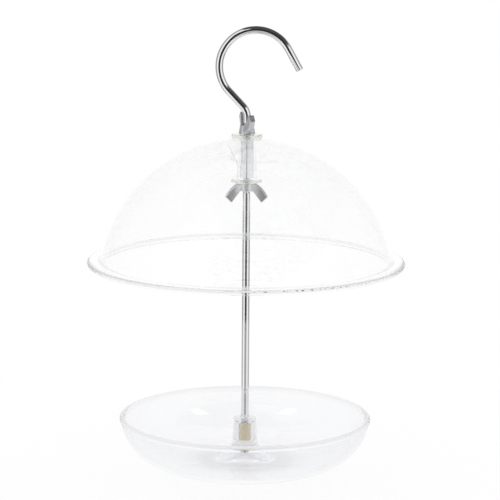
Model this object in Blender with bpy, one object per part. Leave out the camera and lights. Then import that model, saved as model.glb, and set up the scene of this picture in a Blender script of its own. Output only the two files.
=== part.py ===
"""Hanging bird feeder: a clear dome clamped on a bright stem above a clear dish.

Metres, +Z up. The origin is the middle of the dish's flat base, and the hook bends in the XZ plane.
Every outline is a list of (radius, height) points, or (reach, height) points for a flat plate.
"""
import math

import bmesh
import bpy
from mathutils import Matrix, Vector

# Clearances
GAP = 0.0003                # left between pieces that touch on the real feeder

# Stem: hook and rod are one stock, joined by a hex coupling nut inside the dome's sleeve
STEM_D = 0.006
STEM_CHAMFER = 0.0006
STEM_END_GAP = 0.002        # between the hook's and the rod's end inside the coupling nut
COUPLING_WALL = 0.0017      # from the bore to the flats
COUPLING_CHAMFER = 0.0008
COUPLING_RECESS = 0.0016    # from each end of the sleeve

# Hook
HOOK_R = 0.0285             # centreline radius of the crook
HOOK_SHANK = 0.0138         # straight length above the upper nut's seat
NECK_ANGLE = math.radians(44.5)
NECK_BEND_R = 0.012
NECK_STRAIGHT = 0.0153
TIP_ANGLE = math.radians(29.5)  # where the crook ends, above level
TIP_LENGTH = 0.0187

# Dome moulding
DOME_R = 0.117              # outside radius of the shell
DOME_WALL = 0.0026
DOME_DROP = 0.0193          # shell's centre below the top of the flange
FLANGE_WIDTH = 0.0096
FLANGE_T = 0.0042
FLANGE_FILLET = 0.002
FEED_GAP = 0.1216           # open height between the dish's rim and the dome's flange
LAND_MARGIN = 0.0005        # flat land round the upper washer
SLEEVE_LENGTH = 0.0332
SLEEVE_WALL = 0.0016
RIB_COUNT = 3
RIB_T = 0.002
RIB_REACH = 0.0133          # along the shell, out from the sleeve
RIB_FOOT = 0.0078           # lower end of a rib above the sleeve's end
RIB_TURN = math.radians(-15)

# Washers
WASHER_LIP = 0.0043         # beyond the sleeve
WASHER_T = 0.002

# Wing nuts
HUB_BASE_WALL = 0.0032
HUB_TOP_WALL = 0.0021
HUB_H = 0.0068
WING_SPAN = 0.033
WING_H = 0.0157
WING_W = 0.0069             # across the square end
WING_T = 0.0042
WING_LEAN = math.radians(48)
WING_LIFT = 0.0004          # wings stay clear of the washer
WING_SHOULDER = 0.0003      # level run from the hub to the swept edge
WING_SWEEP_R = 0.025
UPPER_NUT_TURN = math.radians(-71)

# Brass insert
INSERT_WALL = 0.0017
INSERT_LENGTH = 0.014
INSERT_FLOOR = 0.0015
INSERT_GROOVE = 0.0006      # waist that keys it into the boss
INSERT_GROOVE_H = 0.0024

# Dish moulding
DISH_BASE_R = 0.0555        # edge of the flat base
DISH_CORNER_R = 0.044       # rounded side
DISH_DEPTH = 0.038          # base to the middle of the rim bead
DISH_WALL = 0.003
BEAD_R = 0.0025
BOSS_WALL = 0.0034
BOSS_COVER = 0.0048         # plastic above the insert
BOSS_WEB = 0.0089           # plastic below the insert
BOSS_DRAFT = 0.001
BOSS_FILLET = 0.02          # flare into the floor
BOSS_EDGE_R = 0.0008
HOLLOW_R = 0.030            # hollow under the boss, at the base
HOLLOW_TOP_R = 0.003
HOLLOW_H = 0.0113

# Facets
SHELL_SIDES = 48
TURNED_SIDES = 24
HUB_SIDES = 32

# Sizes that follow from the ones above
stem_r = STEM_D / 2
bore_r = stem_r + GAP
coupling_flat = bore_r + COUPLING_WALL
coupling_corner = coupling_flat / math.cos(math.pi / 6)
sleeve_bore = coupling_corner + GAP
sleeve_r = sleeve_bore + SLEEVE_WALL
washer_r = sleeve_r + WASHER_LIP
insert_r = bore_r + INSERT_WALL
pocket_r = insert_r + GAP
boss_r = pocket_r + BOSS_WALL

# Levels, from the base up
insert_low = HOLLOW_H + BOSS_WEB + GAP
insert_top = insert_low + INSERT_LENGTH
boss_top = insert_top + GAP + BOSS_COVER
rod_low = insert_low + INSERT_FLOOR + GAP
rim_top = DISH_DEPTH + BEAD_R
flange_low = rim_top + FEED_GAP
flange_top = flange_low + FLANGE_T
shell_z = flange_top - DOME_DROP
land_r = washer_r + LAND_MARGIN
land_z = shell_z + math.sqrt(DOME_R ** 2 - land_r ** 2)
sleeve_low = land_z - SLEEVE_LENGTH
upper_washer_z = land_z + GAP
upper_nut_z = upper_washer_z + WASHER_T + GAP
lower_washer_z = sleeve_low - GAP - WASHER_T
lower_nut_z = lower_washer_z - GAP
coupling_low = sleeve_low + COUPLING_RECESS
coupling_top = land_z - COUPLING_RECESS
stem_joint_z = (coupling_low + coupling_top) / 2


def clear_scene():
    """Remove whatever the file already holds."""
    for old in list(bpy.data.objects):
        bpy.data.objects.remove(old, do_unlink=True)


def make_material(name, colour, roughness, metallic, transmission=0.0):
    """A Principled material with the piece's own colour and polish."""
    material = bpy.data.materials.new(name)
    material.use_nodes = True
    shader = material.node_tree.nodes["Principled BSDF"]
    shader.inputs["Base Color"].default_value = (*colour, 1.0)
    shader.inputs["Roughness"].default_value = roughness
    shader.inputs["Metallic"].default_value = metallic
    shader.inputs["Transmission Weight"].default_value = transmission
    material.diffuse_color = (*colour, 1.0 - 0.6 * transmission)
    return material


def arc(centre, radius, start, end, steps):
    """Points along an arc in the outline's plane, both ends included."""
    points = []
    for step in range(steps + 1):
        angle = start + (end - start) * step / steps
        points.append((centre[0] + radius * math.cos(angle), centre[1] + radius * math.sin(angle)))
    return points


def add_object(name, mesh_data):
    """Wrap a finished bmesh in a named object."""
    bmesh.ops.recalc_face_normals(mesh_data, faces=mesh_data.faces)
    mesh = bpy.data.meshes.new(name)
    mesh_data.to_mesh(mesh)
    mesh_data.free()
    piece = bpy.data.objects.new(name, mesh)
    bpy.context.collection.objects.link(piece)
    return piece


def turned(name, outline, sides):
    """Spin an outline round Z. It is a closed loop, or runs from the axis back to the axis."""
    work = bmesh.new()
    points = [work.verts.new((radius, 0.0, height)) for radius, height in outline]
    edges = [work.edges.new(pair) for pair in zip(points, points[1:])]
    meets_axis = outline[0][0] == 0.0
    if not meets_axis:
        edges.append(work.edges.new((points[-1], points[0])))
    bmesh.ops.spin(
        work, geom=points + edges, cent=(0, 0, 0), axis=(0, 0, 1),
        angle=2 * math.pi, steps=sides, use_merge=True,
    )
    bmesh.ops.remove_doubles(work, verts=work.verts, dist=0.00001)
    return add_object(name, work)


def plate(name, outline, thickness, turn):
    """A flat plate standing in a plane through the Z axis, turned about that axis."""
    work = bmesh.new()
    points = [work.verts.new((reach, -thickness / 2, height)) for reach, height in outline]
    face = work.faces.new(points)
    grown = bmesh.ops.extrude_face_region(work, geom=[face])["geom"]
    side = [item for item in grown if isinstance(item, bmesh.types.BMVert)]
    bmesh.ops.translate(work, verts=side, vec=(0, thickness, 0))
    bmesh.ops.rotate(work, verts=work.verts, matrix=Matrix.Rotation(turn, 3, "Z"))
    return add_object(name, work)


def combine(target, operation, helpers):
    """Apply one Boolean per helper and drop the helpers."""
    for helper in helpers:
        cut = target.modifiers.new(helper.name, "BOOLEAN")
        cut.operation = operation
        cut.object = helper
    graph = bpy.context.evaluated_depsgraph_get()
    result = bpy.data.meshes.new_from_object(target.evaluated_get(graph))
    target.modifiers.clear()
    target.data = result
    for helper in helpers:
        bpy.data.objects.remove(helper, do_unlink=True)


def finish(piece, material, smooth_angle=35):
    """Shade a round piece smooth and give it its material."""
    piece.data.shade_smooth()
    piece.data.set_sharp_from_angle(angle=math.radians(smooth_angle))
    piece.data.materials.clear()
    piece.data.materials.append(material)


def hook_path():
    """Centreline of the hook in the XZ plane, from its threaded end to its tip."""
    points = [(0.0, stem_joint_z + STEM_END_GAP / 2)]
    bend_z = upper_nut_z + HOOK_SHANK
    points += arc((-NECK_BEND_R, bend_z), NECK_BEND_R, 0.0, NECK_ANGLE, 6)
    foot_x, foot_z = points[-1]
    crook_x = foot_x - NECK_STRAIGHT * math.sin(NECK_ANGLE)
    crook_z = foot_z + NECK_STRAIGHT * math.cos(NECK_ANGLE)
    start = math.pi + NECK_ANGLE
    centre = (crook_x - HOOK_R * math.cos(start), crook_z - HOOK_R * math.sin(start))
    points += arc(centre, HOOK_R, start, TIP_ANGLE, 26)
    tip_x, tip_z = points[-1]
    points.append((tip_x + TIP_LENGTH * math.sin(TIP_ANGLE), tip_z - TIP_LENGTH * math.cos(TIP_ANGLE)))
    return points


def make_hook(material):
    """Bent wire: a round bevel along the hook's centreline."""
    path = hook_path()
    curve = bpy.data.curves.new("hook", "CURVE")
    curve.dimensions = "3D"
    curve.bevel_depth = stem_r
    curve.bevel_resolution = 4
    curve.use_fill_caps = True
    spline = curve.splines.new("POLY")
    spline.points.add(len(path) - 1)
    for point, (x, z) in zip(spline.points, path):
        point.co = (x, 0.0, z, 1.0)
    curve.materials.append(material)
    hook = bpy.data.objects.new("hook", curve)
    bpy.context.collection.objects.link(hook)
    return hook


def make_rod(material):
    """Straight stem from the insert's floor to the middle of the coupling nut."""
    top = stem_joint_z - STEM_END_GAP / 2
    narrow = stem_r - STEM_CHAMFER
    outline = [
        (0.0, top), (narrow, top), (stem_r, top - STEM_CHAMFER),
        (stem_r, rod_low + STEM_CHAMFER), (narrow, rod_low), (0.0, rod_low),
    ]
    rod = turned("rod", outline, TURNED_SIDES)
    finish(rod, material)
    return rod


def make_coupling_nut(material):
    """Hexagon bar with turned chamfers at both ends and the bore right through."""
    length = coupling_top - coupling_low
    work = bmesh.new()
    bmesh.ops.create_cone(
        work, cap_ends=True, segments=6, radius1=coupling_corner, radius2=coupling_corner, depth=length,
    )
    bmesh.ops.translate(work, verts=work.verts, vec=(0, 0, length / 2))
    nut = add_object("coupling_nut", work)
    beyond = coupling_corner + GAP
    chamfers = turned("chamfers", [
        (bore_r, length), (coupling_flat, length), (beyond, length - COUPLING_CHAMFER),
        (beyond, COUPLING_CHAMFER), (coupling_flat, 0.0), (bore_r, 0.0),
    ], TURNED_SIDES)
    combine(nut, "INTERSECT", [chamfers])
    nut.location.z = coupling_low
    finish(nut, material, smooth_angle=20)
    return nut


def shell_under(radius):
    """Height of the shell's inner face at a radius."""
    return shell_z + math.sqrt((DOME_R - DOME_WALL) ** 2 - radius ** 2)


def dome_outline():
    """Shell, flange and sleeve as one closed loop, from the bore's upper edge outwards."""
    fillet_z = flange_top + FLANGE_FILLET
    fillet_r = math.sqrt((DOME_R + FLANGE_FILLET) ** 2 - (fillet_z - shell_z) ** 2)
    meet = math.atan2(fillet_z - shell_z, fillet_r)
    edge_r = FLANGE_T / 2
    wall_foot = math.sqrt(DOME_R ** 2 - DOME_DROP ** 2)
    rim_centre = (wall_foot + FLANGE_WIDTH - edge_r, flange_top - edge_r)
    inner_r = DOME_R - DOME_WALL
    mouth = math.asin((flange_low - shell_z) / inner_r)
    crown = math.acos(sleeve_r / inner_r)
    points = [(sleeve_bore, land_z)]
    points += arc((0.0, shell_z), DOME_R, math.acos(land_r / DOME_R), meet, 12)
    points += arc((fillet_r, fillet_z), FLANGE_FILLET, math.pi + meet, 1.5 * math.pi, 3)[1:]
    points += arc(rim_centre, edge_r, math.pi / 2, -math.pi / 2, 6)
    points += arc((0.0, shell_z), inner_r, mouth, crown, 12)
    points += [(sleeve_r, sleeve_low), (sleeve_bore, sleeve_low)]
    return points


def make_dome(material):
    """Turned moulding with gusset ribs fused between sleeve and shell."""
    dome = turned("dome", dome_outline(), SHELL_SIDES)
    sunk = sleeve_r - SLEEVE_WALL / 2
    rib_end = sleeve_r + RIB_REACH
    rib_outline = [
        (sunk, sleeve_low + RIB_FOOT),
        (rib_end, shell_under(rib_end)),
        (rib_end, shell_under(rib_end) + DOME_WALL / 2),
        (sunk, shell_under(sunk) + DOME_WALL / 2),
    ]
    ribs = []
    for number in range(RIB_COUNT):
        turn = RIB_TURN + 2 * math.pi * number / RIB_COUNT
        ribs.append(plate(f"rib_{number}", rib_outline, RIB_T, turn))
    combine(dome, "UNION", ribs)
    finish(dome, material)
    return dome


def make_washer(name, seat_z, material):
    """Plain washer whose underside is at seat_z."""
    outline = [(bore_r, WASHER_T), (washer_r, WASHER_T), (washer_r, 0.0), (bore_r, 0.0)]
    washer = turned(name, outline, HUB_SIDES)
    washer.location.z = seat_z
    finish(washer, material)
    return washer


def wing_edge():
    """Swept edge and square end of a wing, from the hub outwards and round to the end's inner corner."""
    along = Vector((math.cos(WING_LEAN), math.sin(WING_LEAN)))
    across = Vector((-along.y, along.x))
    corner = Vector((WING_SPAN / 2, WING_H - WING_W * across.y))
    shoulder = Vector((bore_r + HUB_BASE_WALL + WING_SHOULDER, WING_LIFT))
    chord = corner - shoulder
    centre_lift = math.sqrt(WING_SWEEP_R ** 2 - chord.length_squared / 4)
    centre = (shoulder + corner) / 2 + Vector((-chord.y, chord.x)).normalized() * centre_lift
    first = shoulder - centre
    last = corner - centre
    points = arc(centre, WING_SWEEP_R, math.atan2(first.y, first.x), math.atan2(last.y, last.x), 5)
    points.append(tuple(corner + across * WING_W))
    return points


def make_wing_nut(name, material):
    """Conical hub with two splayed wings. It is seated on Z = 0, wings up."""
    base_r = bore_r + HUB_BASE_WALL
    top_r = bore_r + HUB_TOP_WALL
    hub = turned(name, [(bore_r, HUB_H), (top_r, HUB_H), (base_r, 0.0), (bore_r, 0.0)], HUB_SIDES)
    root = bore_r + HUB_TOP_WALL / 2
    wing_outline = [(root, WING_LIFT)] + wing_edge()
    wing_outline.append((root, HUB_H - HUB_TOP_WALL / 2))
    wings = [plate(f"wing_{side}", wing_outline, WING_T, side * math.pi) for side in range(2)]
    combine(hub, "UNION", wings)
    finish(hub, material, smooth_angle=30)
    return hub


def make_insert(material):
    """Blind brass bush with a keyed waist."""
    middle = INSERT_LENGTH / 2
    waist_r = insert_r - INSERT_GROOVE
    outline = [
        (0.0, INSERT_FLOOR), (bore_r, INSERT_FLOOR), (bore_r, INSERT_LENGTH), (insert_r, INSERT_LENGTH),
        (insert_r, middle + INSERT_GROOVE_H / 2), (waist_r, middle + INSERT_GROOVE_H / 2),
        (waist_r, middle - INSERT_GROOVE_H / 2), (insert_r, middle - INSERT_GROOVE_H / 2),
        (insert_r, 0.0), (0.0, 0.0),
    ]
    insert = turned("threaded_insert", outline, TURNED_SIDES)
    insert.location.z = insert_low
    finish(insert, material)
    return insert


def side_arc(radius, low, high, steps):
    """Rounded side of the dish between two heights, as far up as the corner's own radius."""
    centre = (DISH_BASE_R, DISH_CORNER_R)
    start = math.asin(max(-1.0, (low - DISH_CORNER_R) / radius))
    end = math.asin(min(0.0, (high - DISH_CORNER_R) / radius))
    return arc(centre, radius, start, end, steps)


def dish_outline():
    """Bowl, bead, boss, insert pocket and hollow, from the pocket's floor round to the hollow's crown."""
    fillet = min(BOSS_FILLET, boss_top - DISH_WALL - BOSS_EDGE_R)
    foot_r = boss_r + BOSS_DRAFT
    side_top = DISH_DEPTH - BEAD_R * math.sin(math.pi / 4)
    inner_side = side_arc(DISH_CORNER_R - DISH_WALL, DISH_WALL, side_top, 9)
    outer_side = side_arc(DISH_CORNER_R, 0.0, side_top, 9)
    bead_centre = ((inner_side[-1][0] + outer_side[-1][0]) / 2, DISH_DEPTH)
    hollow_span = HOLLOW_R - HOLLOW_TOP_R
    hollow_arc_r = (hollow_span ** 2 + HOLLOW_H ** 2) / (2 * HOLLOW_H)
    hollow_end = -math.pi / 2 - math.asin(hollow_span / hollow_arc_r)

    points = [(0.0, insert_low - GAP), (pocket_r, insert_low - GAP), (pocket_r, insert_top + GAP)]
    points += [(bore_r, insert_top + GAP), (bore_r, boss_top)]
    points += arc((boss_r - BOSS_EDGE_R, boss_top - BOSS_EDGE_R), BOSS_EDGE_R, math.pi / 2, 0.0, 3)
    points += arc((foot_r + fillet, DISH_WALL + fillet), fillet, math.pi, 1.5 * math.pi, 8)
    points += inner_side
    points += arc(bead_centre, BEAD_R, 1.25 * math.pi, -0.25 * math.pi, 9)
    points += outer_side[::-1]
    points += arc((HOLLOW_R, hollow_arc_r), hollow_arc_r, -math.pi / 2, hollow_end, 6)
    points.append((0.0, HOLLOW_H))
    return points


def make_dish(material):
    """Bowl with its flared boss, turned in one piece."""
    dish = turned("dish", dish_outline(), SHELL_SIDES)
    finish(dish, material)
    return dish


def build():
    """Make every piece and seat the wing nuts."""
    clear_scene()
    chrome = make_material("bright_chrome", (0.78, 0.78, 0.79), 0.06, 1.0)
    zinc = make_material("zinc_plated_steel", (0.62, 0.62, 0.64), 0.3, 1.0)
    cast_zinc = make_material("cast_zinc", (0.55, 0.55, 0.57), 0.42, 1.0)
    brass = make_material("brass", (0.78, 0.62, 0.3), 0.25, 1.0)
    clear_dome = make_material("clear_dome_plastic", (0.97, 0.98, 0.98), 0.02, 0.0, 1.0)
    clear_dish = make_material("clear_dish_plastic", (0.95, 0.95, 0.97), 0.04, 0.0, 1.0)
    clear_washer = make_material("clear_washer_plastic", (0.86, 0.88, 0.8), 0.08, 0.0, 1.0)

    make_hook(chrome)
    make_rod(chrome)
    make_coupling_nut(zinc)
    make_dome(clear_dome)
    make_washer("upper_washer", upper_washer_z, clear_washer)
    make_washer("lower_washer", lower_washer_z, clear_washer)
    make_insert(brass)
    make_dish(clear_dish)

    upper = make_wing_nut("upper_wing_nut", cast_zinc)
    upper.location.z = upper_nut_z
    upper.rotation_euler.z = UPPER_NUT_TURN
    lower = make_wing_nut("lower_wing_nut", cast_zinc)
    lower.location.z = lower_nut_z
    lower.rotation_euler.x = math.pi


build()
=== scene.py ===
# %% [markdown]
# # A hanging bird feeder with a clear dome
#
# The feeder is ten pieces on one bright stem: a bent hook, a coupling nut, a straight rod, two cast wing
# nuts, two clear washers, a clear dome, a clear dish and the brass insert that joins the dish to the rod.
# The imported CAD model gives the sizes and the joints, and this script puts a finished piece over each of
# its solids, with smooth curves, threads, knurling and real finishes.

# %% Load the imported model
import math

import bmesh
import bpy
from bmesh.types import BMEdge, BMVert
from mathutils import Matrix, Vector


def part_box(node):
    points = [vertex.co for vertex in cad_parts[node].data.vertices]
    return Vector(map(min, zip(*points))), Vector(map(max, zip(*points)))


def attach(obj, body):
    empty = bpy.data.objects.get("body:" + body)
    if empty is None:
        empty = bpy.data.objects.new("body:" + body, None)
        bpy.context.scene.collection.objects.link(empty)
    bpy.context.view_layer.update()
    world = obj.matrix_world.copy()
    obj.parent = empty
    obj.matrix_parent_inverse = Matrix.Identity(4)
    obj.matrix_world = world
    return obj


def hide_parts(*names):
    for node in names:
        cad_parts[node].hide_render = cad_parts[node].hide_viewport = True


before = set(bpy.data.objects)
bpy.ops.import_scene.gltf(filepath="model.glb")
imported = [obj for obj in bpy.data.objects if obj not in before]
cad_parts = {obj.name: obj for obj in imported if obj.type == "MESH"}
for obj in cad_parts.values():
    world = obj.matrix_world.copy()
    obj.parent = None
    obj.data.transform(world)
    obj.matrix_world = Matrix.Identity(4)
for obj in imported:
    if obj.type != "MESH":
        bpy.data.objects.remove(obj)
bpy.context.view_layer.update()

scene = bpy.context.scene
scene.view_settings.view_transform = "Standard"

# %% [markdown]
# ## The camera
#
# The picture was taken with a long lens, about two metres away and a little above the dome. The two
# rims show this: the dish looks rounder than the dome because it lies further below the camera. A camera
# could be placed by eye, but a lens length in pixels, a height and a tilt that fit both rims, the stem and
# the hook are more exact.

# %% Camera
IMAGE_WIDTH = 500  # pixels
FOCAL_LENGTH = 2531  # pixels
SENSOR_WIDTH = 36.0  # millimetres
CAMERA_PLACE = (0.00305, -1.956, 0.5387)
CAMERA_DOWN = math.radians(10.57)
CAMERA_ROLL = math.radians(0.43)


def add_object(name, data):
    """Put a new object into the scene."""
    thing = bpy.data.objects.new(name, data)
    scene.collection.objects.link(thing)
    return thing


lens = bpy.data.cameras.new("long_lens")
lens.sensor_width = SENSOR_WIDTH
lens.lens = FOCAL_LENGTH / IMAGE_WIDTH * SENSOR_WIDTH
camera = add_object("camera", lens)
camera.matrix_world = (
    Matrix.Translation(CAMERA_PLACE)
    @ Matrix.Rotation(math.pi / 2 - CAMERA_DOWN, 4, "X")
    @ Matrix.Rotation(CAMERA_ROLL, 4, "Z")
)
scene.camera = camera
print(f"lens {lens.lens:.0f} mm")

# %% [markdown]
# ## The studio
#
# Chrome and clear plastic have hardly any colour of their own: they show the room. Here that is a white
# tent. The dark line down the middle of the rod is the opening in front of the lens, the white bands beside
# it are the tent's sides, the dark top of the hook is a gap in its roof, and the thin grey edges are the
# seams towards the back. The tent could be built from cloth and lamps, but a world shader that looks at the
# direction of each ray gives the same soft shapes without noise. Only reflected rays see these shapes: the
# camera, and a ray that goes straight through the plastic, sees plain white.

# %% Helpers for shader nodes
def feed(socket, value):
    """Put a number into a socket, or link another socket to it. A socket's id_data is its node tree."""
    if isinstance(value, (int, float)):
        socket.default_value = value
    else:
        socket.id_data.links.new(value, socket)


def calc(operation, *values):
    """A Math node on sockets and numbers."""
    tree = next(value.id_data for value in values if hasattr(value, "id_data"))
    node = tree.nodes.new("ShaderNodeMath")
    node.operation = operation
    for socket, value in zip(node.inputs, values):
        feed(socket, value)
    return node.outputs[0]


def times(first, second):
    """The product of two values."""
    return calc("MULTIPLY", first, second)


def larger(first, second):
    """The larger of two values."""
    return calc("MAXIMUM", first, second)


def fade(value, low, high, start=0.0, end=1.0):
    """A soft step: start below low, end above high."""
    node = value.id_data.nodes.new("ShaderNodeMapRange")
    node.interpolation_type = "SMOOTHSTEP"
    feed(node.inputs[0], value)
    for socket, number in zip(node.inputs[1:5], (low, high, start, end)):
        socket.default_value = number
    return node.outputs[0]


def fade_out(value, low, high, start=1.0):
    """A soft step down to 0."""
    return fade(value, low, high, start, 0.0)


def choose(mask, when_off, when_on):
    """One value where the mask is 0 and another where it is 1."""
    node = mask.id_data.nodes.new("ShaderNodeMix")
    node.data_type = "FLOAT"
    feed(node.inputs[0], mask)
    feed(node.inputs[2], when_off)
    feed(node.inputs[3], when_on)
    return node.outputs[0]


def split(vector):
    """The three parts of a vector."""
    node = vector.id_data.nodes.new("ShaderNodeSeparateXYZ")
    feed(node.inputs[0], vector)
    return node.outputs


# %% [markdown]
# ## Which rays see the room
#
# Metal is a little rough and the plastic is polished, so a ray straight from metal isn't sharp. Once
# it has left through a clear wall it is as sharp as one that the wall reflects. All plastic could show the
# room, but dark blotches would cover the dome. The Light Path node counts the clear faces that a ray has
# passed, and with masks for the places where no such ray goes, the count tells the two apart.

# %% Share of the room
DISH_FACES = 2  # clear faces that a ray passes if metal sends it out through the dish,
DOME_FACES = 4  # if the metal is under the dome,
SLEEVE_FACES = 8  # and if it is in the sleeve as well
SLEEVE_SHARE = 0.75  # how much of the dark shapes the metal in the sleeve shows
WALL_SHARE = 0.04  # and how much clear plastic


def room_share(behind_dome, behind_dish=0.0):
    """How much of the room's dark shapes a ray shows: all off metal, a little off clear plastic.

    The masks are 0 where no ray goes from metal behind those walls. What plastic has reflected more than
    once is white.
    """
    ray = behind_dome.id_data.nodes.new("ShaderNodeLightPath").outputs
    reflected = calc("GREATER_THAN", ray["Glossy Depth"], 0.5)
    once = calc("LESS_THAN", ray["Glossy Depth"], 1.5)
    faces = ray["Transmission Depth"]
    under_dome = calc("COMPARE", faces, DOME_FACES, 0.5)
    in_sleeve = calc("GREATER_THAN", faces, SLEEVE_FACES - 0.5)
    through_dish = calc("COMPARE", faces, DISH_FACES, 0.5)
    dome_share = times(larger(under_dome, times(in_sleeve, SLEEVE_SHARE)), behind_dome)
    metal_share = larger(dome_share, times(through_dish, behind_dish))
    sharp_share = times(once, larger(metal_share, WALL_SHARE))
    blurred = calc("SUBTRACT", 1.0, ray["Is Singular Ray"])
    return times(reflected, larger(blurred, sharp_share))


# %% Shapes of the tent
def in_radians(*edge):
    """Both limits of a soft edge in radians."""
    return [math.radians(degrees) for degrees in edge]


def sines(*edge):
    """The sines of both limits of a soft edge in degrees."""
    return [math.sin(angle) for angle in in_radians(*edge)]


OPENING_EDGE = sines(25, 32)  # off the line of sight, from full to none
SEAM_FRONT = (-0.35, -0.05)  # where the seams begin and end, from -1 in front to 1 at the back
SEAM_BACK = (0.86, 0.96)
ROOF_LEFT = in_radians(-27, -18)  # off upright
ROOF_RIGHT = in_radians(54, 62)
ROOF_SLOPE = math.radians(17)  # its right edge runs out towards the front
ROOF_NOTCH = in_radians(-18, -8)  # left of this, the gap starts further back
ROOF_NOTCH_FRONT = sines(-44, -36)
ROOF_BACK = (0.6, 0.9)
SIGHT_DOWN = math.radians(7)  # slope of the line of sight at the hook

tent = bpy.data.worlds.new("white_tent")
scene.world = tent
tent.use_nodes = True
tree = tent.node_tree
tree.nodes.clear()
direction = tree.nodes.new("ShaderNodeTexCoord").outputs["Generated"]
level = tree.nodes.new("ShaderNodeVectorRotate")
level.rotation_type = "X_AXIS"
level.inputs["Angle"].default_value = SIGHT_DOWN
feed(level.inputs["Vector"], direction)
right, away, up = split(level.outputs[0])

in_front = calc("LESS_THAN", away, 0.0)
off_axis = larger(calc("ABSOLUTE", right), calc("ABSOLUTE", up))
opening = times(fade_out(off_axis, *OPENING_EDGE), in_front)
seam = times(fade(away, *SEAM_FRONT), fade_out(away, *SEAM_BACK))
lean = calc("ARCTAN2", right, up)
sloped_lean = calc("MULTIPLY_ADD", away, ROOF_SLOPE, lean)
roof_side = times(fade(lean, *ROOF_LEFT), fade_out(sloped_lean, *ROOF_RIGHT))
roof_front = larger(fade(lean, *ROOF_NOTCH), fade(away, *ROOF_NOTCH_FRONT))
roof = times(times(roof_side, roof_front), fade_out(away, *ROOF_BACK))
print("nodes for the shapes:", len(tree.nodes))

# %% Tent
TENT_WHITE = 1.08  # where plain white is 1
OPENING_DARK = 0.03
ROOF_DARK = 0.08
SEAM_GREY = 0.40
ROD_SLOPE = 0.193  # of the line of sight at the rod under the dome
ROD_SLOPE_SPREAD = 0.035

in_metal = choose(seam, TENT_WHITE, TENT_WHITE * SEAM_GREY)
in_metal = choose(roof, in_metal, ROOF_DARK)
in_metal = choose(opening, in_metal, OPENING_DARK)
off_rod = calc("COMPARE", split(direction)[2], -ROD_SLOPE, ROD_SLOPE_SPREAD)
behind_dome = larger(off_rod, in_front)
seen = choose(room_share(behind_dome), 1.0, in_metal)
background = tree.nodes.new("ShaderNodeBackground")
feed(background.inputs["Color"], seen)
feed(tree.nodes.new("ShaderNodeOutputWorld").inputs["Surface"], background.outputs[0])
print("tent nodes:", len(tree.nodes))

# %% [markdown]
# ## How far a ray is followed
#
# A ray that is caught in a clear rim turns many corners before it leaves, and if it were given up early,
# the rim would look black. A paler plastic could hide that, but few rays turn so often, so all go on.

# %% Bounces
RAY_CORNERS = 160
scene.cycles.max_bounces = RAY_CORNERS
scene.cycles.glossy_bounces = RAY_CORNERS
scene.cycles.transmission_bounces = RAY_CORNERS
print("bounces:", scene.cycles.max_bounces)

# %% [markdown]
# ## Two softboxes
#
# The two bright patches in the dish are mirror images of lamps. The tent could have them, but then the dome
# and the chrome would show them too. So each is an area light that is linked to the dish alone. Both hang
# below the dome's mouth: the last surface that a ray left decides, and for a higher lamp that is the dome.

# %% Softboxes
SOFTBOX_SIZE = (0.017, 0.034)
SOFTBOX_BRIGHT = 2.6  # radiance, where plain white is 1
SOFTBOX_PLACES = ((0.054, 0.027, 0.127), (-0.053, 0.0205, 0.1256))
SOFTBOX_AIMS = ((-0.039, 0.081, 0.022), (0.037, 0.083, 0.022))
softbox_lit = bpy.data.collections.new("lit_by_softboxes")

for number, (place, aim_at) in enumerate(zip(SOFTBOX_PLACES, SOFTBOX_AIMS)):
    softbox = bpy.data.lights.new(f"softbox_{number}", "AREA")
    softbox.shape = "RECTANGLE"
    softbox.size, softbox.size_y = SOFTBOX_SIZE
    softbox.energy = SOFTBOX_BRIGHT * math.pi * SOFTBOX_SIZE[0] * SOFTBOX_SIZE[1]
    lamp = add_object(softbox.name, softbox)
    aim = (Vector(aim_at) - Vector(place)).to_track_quat("-Z", "Y").to_matrix().to_4x4()
    lamp.matrix_world = Matrix.Translation(place) @ aim
    lamp.light_linking.receiver_collection = softbox_lit
    lamp.visible_camera = False
    lamp.visible_transmission = False
    print(f"{lamp.name}: {1000 * softbox.energy:.1f} mW")

# %% [markdown]
# ## The table
#
# The ground in the picture is plain white with a faint shade behind the dish. A table under lamps would be
# grey further out, so this one shines by itself, and only a small share of its white is real light that the
# feeder can shade. It lies a little below the dish, which needs room to come off the rod.

# %% Table top
TABLE_R = 0.60
TABLE_DROP = 0.0125

work = bmesh.new()
bmesh.ops.create_circle(work, cap_ends=True, segments=96, radius=TABLE_R)
bmesh.ops.translate(work, verts=work.verts, vec=(0, 0, -TABLE_DROP))
floor_mesh = bpy.data.meshes.new("table_top")
work.to_mesh(floor_mesh)
work.free()
floor = add_object("table_top", floor_mesh)
print(f"table {2 * TABLE_R:.1f} m across")

# %% White of the table
FRONT_BRIGHT = 0.45  # its front and its sides, as metal shows them
SIDES_BRIGHT = 1.1
BACK_SHARE = 1.3 * SEAM_GREY  # and its back, as a share of its sides
FRONT_EDGE = (-0.90, -0.82)  # from -1 in front, as for the seams
PATTERN_FADE = (0.05, 0.20)  # metres: plain white, then its full pattern
DISH_RAYS = -0.8  # rays out through the dish go further to the front
SHADE_WHITE = (0.95, 0.95, 0.95, 1.0)
SHADE_SHARE = 0.06  # how much of the white is real light
SHADE_FADE = (0.16, 0.40)
CONTACT_SHARE = 0.34  # and how much more of it near the dish
CONTACT_FADE = (0.03, 0.06)
CONTACT_AT = (0.0, 0.048, -TABLE_DROP)


def vector_calc(operation, vector, other=None):
    """The outputs of a Vector Math node."""
    node = vector.id_data.nodes.new("ShaderNodeVectorMath")
    node.operation = operation
    feed(node.inputs[0], vector)
    if other:
        node.inputs[1].default_value = other
    return node.outputs


def object_place(tree):
    """The place on a piece, in Object coordinates."""
    return tree.nodes.new("ShaderNodeTexCoord").outputs["Object"]


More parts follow.
